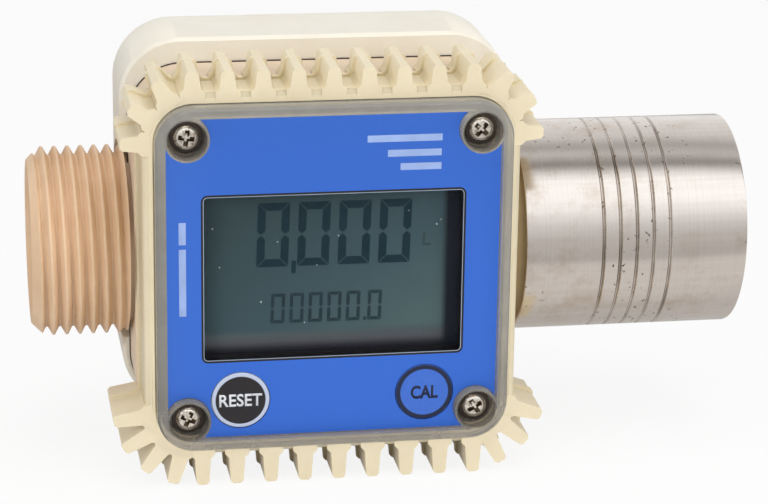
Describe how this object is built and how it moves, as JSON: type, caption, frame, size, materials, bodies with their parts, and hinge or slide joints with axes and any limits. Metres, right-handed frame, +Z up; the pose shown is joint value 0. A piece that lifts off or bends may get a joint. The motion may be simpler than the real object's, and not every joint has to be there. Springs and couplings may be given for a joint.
{
  "type": "turbine flow meter",
  "caption": "Inline digital turbine flow meter: ribbed square display head with reset and calibration buttons, rear battery cover, threaded inlet stub and threaded steel outlet socket.",
  "frame": {"origin": "on the pipe axis at the middle of the inlet thread", "axes": "+X along the pipe from inlet to outlet, -Y towards the reader of the display, +Z up"},
  "size_m": [0.1253, 0.049, 0.0742],
  "materials": {
    "body_plastic": "moulded, satin, pinkish beige",
    "housing_plastic": "moulded, satin cream",
    "window_clear": "clear, polished",
    "label_blue": "printed film, satin",
    "fastener_steel": "plated, bright",
    "seal_rubber": "matt grey",
    "socket_seal_rubber": "matt dark olive brown",
    "lcd_glass": "grey-green reflective display glass",
    "black_plastic": "moulded, matt",
    "contact_rubber": "matt grey",
    "board_green": "solder mask, satin",
    "reset_key": "printed black with a pale ring",
    "cal_key": "printed blue with a dark ring",
    "plunger_plastic": "moulded, matt",
    "battery_jacket": "printed steel can, satin",
    "contact_steel": "nickel-plated spring steel",
    "rotor_plastic": "moulded, satin white",
    "shaft_steel": "ground stainless steel",
    "magnet": "nickel plated",
    "bush_brass": "turned",
    "straightener_plastic": "moulded, satin",
    "socket_steel": "turned stainless steel with fine tool marks"
  },
  "bodies": {
    "meter": {"turbine_body": "body_plastic", "front_housing": "housing_plastic", "window_cover": "window_clear", "window_gasket": "seal_rubber", "flange_gasket": "seal_rubber", "face_label": "label_blue", "window_screws": "fastener_steel", "lcd_panel": "lcd_glass", "lcd_frame": "black_plastic", "zebra_strips": "contact_rubber", "circuit_board": "board_green", "board_screws": "fastener_steel", "controller_chip": "black_plastic", "timing_crystal": "fastener_steel", "hall_sensor": "black_plastic", "reset_switch": "black_plastic", "cal_switch": "black_plastic", "rear_cover": "housing_plastic", "rear_cover_screws": "fastener_steel", "battery_contacts": "contact_steel", "upper_battery": "battery_jacket", "upper_battery_tray": "black_plastic", "lower_battery": "battery_jacket", "lower_battery_tray": "black_plastic", "inlet_bush": "bush_brass", "inlet_straightener": "straightener_plastic", "outlet_bush": "bush_brass", "outlet_straightener": "straightener_plastic", "retaining_rings": "fastener_steel", "outlet_socket": "socket_steel", "socket_seal": "socket_seal_rubber"},
    "rotor": {"turbine_rotor": "rotor_plastic", "rotor_shaft": "shaft_steel", "rotor_magnets": "magnet"},
    "reset_key": {"reset_button": "reset_key", "reset_plunger": "plunger_plastic"},
    "cal_key": {"cal_button": "cal_key", "cal_plunger": "plunger_plastic"}
  },
  "joints": [
    {"name": "rotor_spin", "type": "hinge", "parent": "meter", "child": "rotor", "pos_m": [0.04105, 0, 0], "axis": [1, 0, 0], "continuous": true},
    {"name": "reset_press", "type": "slide", "parent": "meter", "child": "reset_key", "axis": [0, 1, 0], "range_m": [0, 0.0005], "stiffness_N_per_m": 600},
    {"name": "cal_press", "type": "slide", "parent": "meter", "child": "cal_key", "axis": [0, 1, 0], "range_m": [0, 0.0005], "stiffness_N_per_m": 600}
  ]
}
